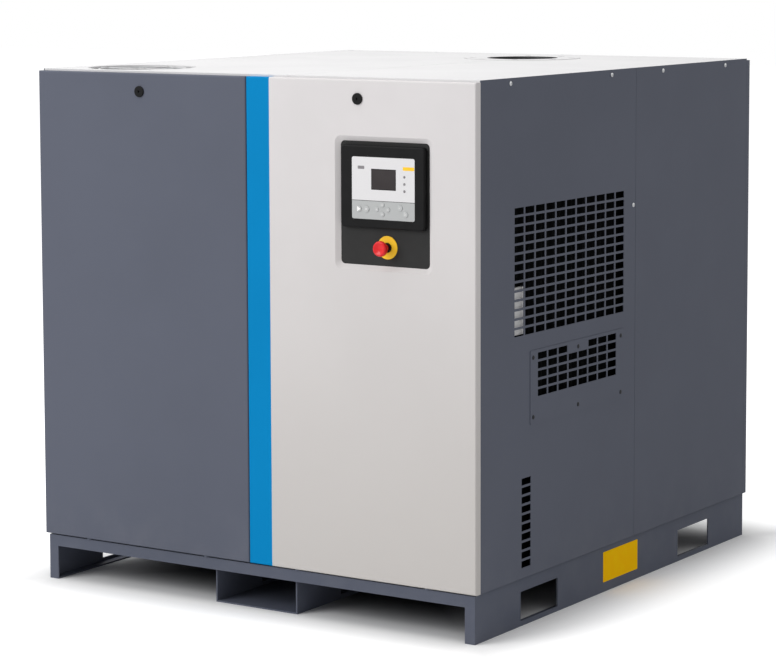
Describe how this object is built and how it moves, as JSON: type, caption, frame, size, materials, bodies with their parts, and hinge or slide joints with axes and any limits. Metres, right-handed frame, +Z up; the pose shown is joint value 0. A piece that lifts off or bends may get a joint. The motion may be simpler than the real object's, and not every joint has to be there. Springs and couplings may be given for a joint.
{
  "type": "rotary screw vacuum pump",
  "caption": "Boxed industrial screw vacuum pump with fork base, tilting front panels, side grilles, roof inlet flange and fan outlet, keypad and emergency stop.",
  "frame": {"origin": "on the floor under the middle of the machine, on the underside of the centre channel", "axes": "+Z up, -Y the operator's side with the control recess, +X the side with the service grilles"},
  "size_m": [1.418, 1.5925, 1.431],
  "materials": {
    "dark_paint": "satin powder coat, fine texture",
    "base_paint": "satin powder coat",
    "light_paint": "satin powder coat",
    "frame_paint": "satin powder coat",
    "zinc": "zinc plated",
    "steel": "machined",
    "cast": "painted casting",
    "motor_paint": "painted housing",
    "aluminium": "bare",
    "black_plate": "matt",
    "black_plastic": "matt",
    "grey_plastic": "matt",
    "screen": "gloss",
    "yellow_plastic": "matt",
    "red_plastic": "satin",
    "key_plastic": "soft matt",
    "filter_paint": "gloss"
  },
  "bodies": {
    "machine": {"base_cross_beams": "base_paint", "bell_housing": "cast", "centre_fork_channel": "base_paint", "control_box": "black_plate", "control_plate": "black_plate", "controller_face": "grey_plastic", "controller_housing": "black_plastic", "discharge_pipe": "zinc", "display_screen": "screen", "electrical_cubicle": "frame_paint", "emergency_stop_collar": "black_plastic", "emergency_stop_ring": "yellow_plastic", "exhaust_pipe": "zinc", "fan_guard": "black_plate", "fan_shroud": "zinc", "floor_plate": "base_paint", "frame_posts": "frame_paint", "inlet_pipe": "light_paint", "inlet_valve_body": "cast", "left_base_skirt": "base_paint", "left_roof_panel": "light_paint", "left_side_front_panel": "dark_paint", "left_side_rear_panel": "dark_paint", "motor_fan_cowl": "motor_paint", "motor_housing": "motor_paint", "oil_cooler": "aluminium", "oil_filter": "filter_paint", "panel_screws": "zinc", "rear_left_panel": "dark_paint", "rear_right_panel": "dark_paint", "right_base_skirt": "base_paint", "right_roof_panel": "light_paint", "right_side_front_panel": "dark_paint", "right_side_grille_plate": "dark_paint", "right_side_rear_panel": "dark_paint", "rotor_bearings": "steel", "screw_element_casing": "cast", "separator_lid": "frame_paint", "separator_tank": "frame_paint", "top_rails": "frame_paint"},
    "left_front_panel": {"left_front_panel": "dark_paint"},
    "right_front_panel": {"right_front_panel": "light_paint"},
    "left_lock": {"left_lock": "black_plastic"},
    "right_lock": {"right_lock": "black_plastic"},
    "emergency_stop_plunger": {"emergency_stop_plunger": "red_plastic"},
    "emergency_stop_head": {"emergency_stop_head": "red_plastic"},
    "drive": {"motor_rotor": "steel", "motor_fan": "black_plastic", "male_rotor": "steel"},
    "female_rotor": {"female_rotor": "steel"},
    "cooling_fan": {"cooling_fan_impeller": "black_plastic"},
    "inlet_valve_disc": {"inlet_valve_disc": "steel"},
    "start_key": {"start_key": "key_plastic"},
    "stop_key": {"stop_key": "key_plastic"},
    "left_key": {"left_key": "key_plastic"},
    "up_key": {"up_key": "key_plastic"},
    "down_key": {"down_key": "key_plastic"},
    "right_key": {"right_key": "key_plastic"},
    "enter_key": {"enter_key": "key_plastic"},
    "escape_key": {"escape_key": "key_plastic"}
  },
  "joints": [
    {"name": "left_panel_tilt", "type": "hinge", "parent": "machine", "child": "left_front_panel", "pos_m": [-0.353, -0.78, 0.129], "axis": [1, 0, 0], "range_deg": [0, 20]},
    {"name": "left_lock_turn", "type": "hinge", "parent": "left_front_panel", "child": "left_lock", "pos_m": [-0.353, -0.78, 1.376], "axis": [0, 1, 0], "range_deg": [0, 90]},
    {"name": "right_panel_tilt", "type": "hinge", "parent": "machine", "child": "right_front_panel", "pos_m": [0.353, -0.78, 0.129], "axis": [1, 0, 0], "range_deg": [0, 20]},
    {"name": "right_lock_turn", "type": "hinge", "parent": "right_front_panel", "child": "right_lock", "pos_m": [0.353, -0.78, 1.376], "axis": [0, 1, 0], "range_deg": [0, 90]},
    {"name": "emergency_stop_push", "type": "slide", "parent": "machine", "child": "emergency_stop_plunger", "axis": [0, 1, 0], "range_m": [0, 0.006], "stiffness_N_per_m": 600},
    {"name": "emergency_stop_release", "type": "hinge", "parent": "emergency_stop_plunger", "child": "emergency_stop_head", "pos_m": [0.437, -0.81, 0.998], "axis": [0, 1, 0], "range_deg": [0, 45], "stiffness_Nm_per_rad": 0.1},
    {"name": "start_press", "type": "slide", "parent": "machine", "child": "start_key", "axis": [0, 1, 0], "range_m": [0, 0.001], "stiffness_N_per_m": 500},
    {"name": "stop_press", "type": "slide", "parent": "machine", "child": "stop_key", "axis": [0, 1, 0], "range_m": [0, 0.001], "stiffness_N_per_m": 500},
    {"name": "left_press", "type": "slide", "parent": "machine", "child": "left_key", "axis": [0, 1, 0], "range_m": [0, 0.001], "stiffness_N_per_m": 500},
    {"name": "up_press", "type": "slide", "parent": "machine", "child": "up_key", "axis": [0, 1, 0], "range_m": [0, 0.001], "stiffness_N_per_m": 500},
    {"name": "down_press", "type": "slide", "parent": "machine", "child": "down_key", "axis": [0, 1, 0], "range_m": [0, 0.001], "stiffness_N_per_m": 500},
    {"name": "right_press", "type": "slide", "parent": "machine", "child": "right_key", "axis": [0, 1, 0], "range_m": [0, 0.001], "stiffness_N_per_m": 500},
    {"name": "enter_press", "type": "slide", "parent": "machine", "child": "enter_key", "axis": [0, 1, 0], "range_m": [0, 0.001], "stiffness_N_per_m": 500},
    {"name": "escape_press", "type": "slide", "parent": "machine", "child": "escape_key", "axis": [0, 1, 0], "range_m": [0, 0.001], "stiffness_N_per_m": 500},
    {"name": "drive_spin", "type": "hinge", "parent": "machine", "child": "drive", "pos_m": [0.187, 0, 0.35], "axis": [0, 1, 0], "continuous": true},
    {"name": "female_rotor_spin", "type": "hinge", "parent": "machine", "child": "female_rotor", "pos_m": [0.027, 0.475, 0.35], "axis": [0, 1, 0], "continuous": true},
    {"name": "cooling_fan_spin", "type": "hinge", "parent": "machine", "child": "cooling_fan", "pos_m": [-0.508, -0.57, 1.33], "axis": [0, 0, 1], "continuous": true},
    {"name": "inlet_valve_open", "type": "slide", "parent": "machine", "child": "inlet_valve_disc", "axis": [0, 0, -1], "range_m": [0, 0.025], "stiffness_N_per_m": 1500, "springref_m": -0.03}
  ],
  "couplings": [
    {"joint": "female_rotor_spin", "follows": "drive_spin", "ratio": -0.66667}
  ]
}
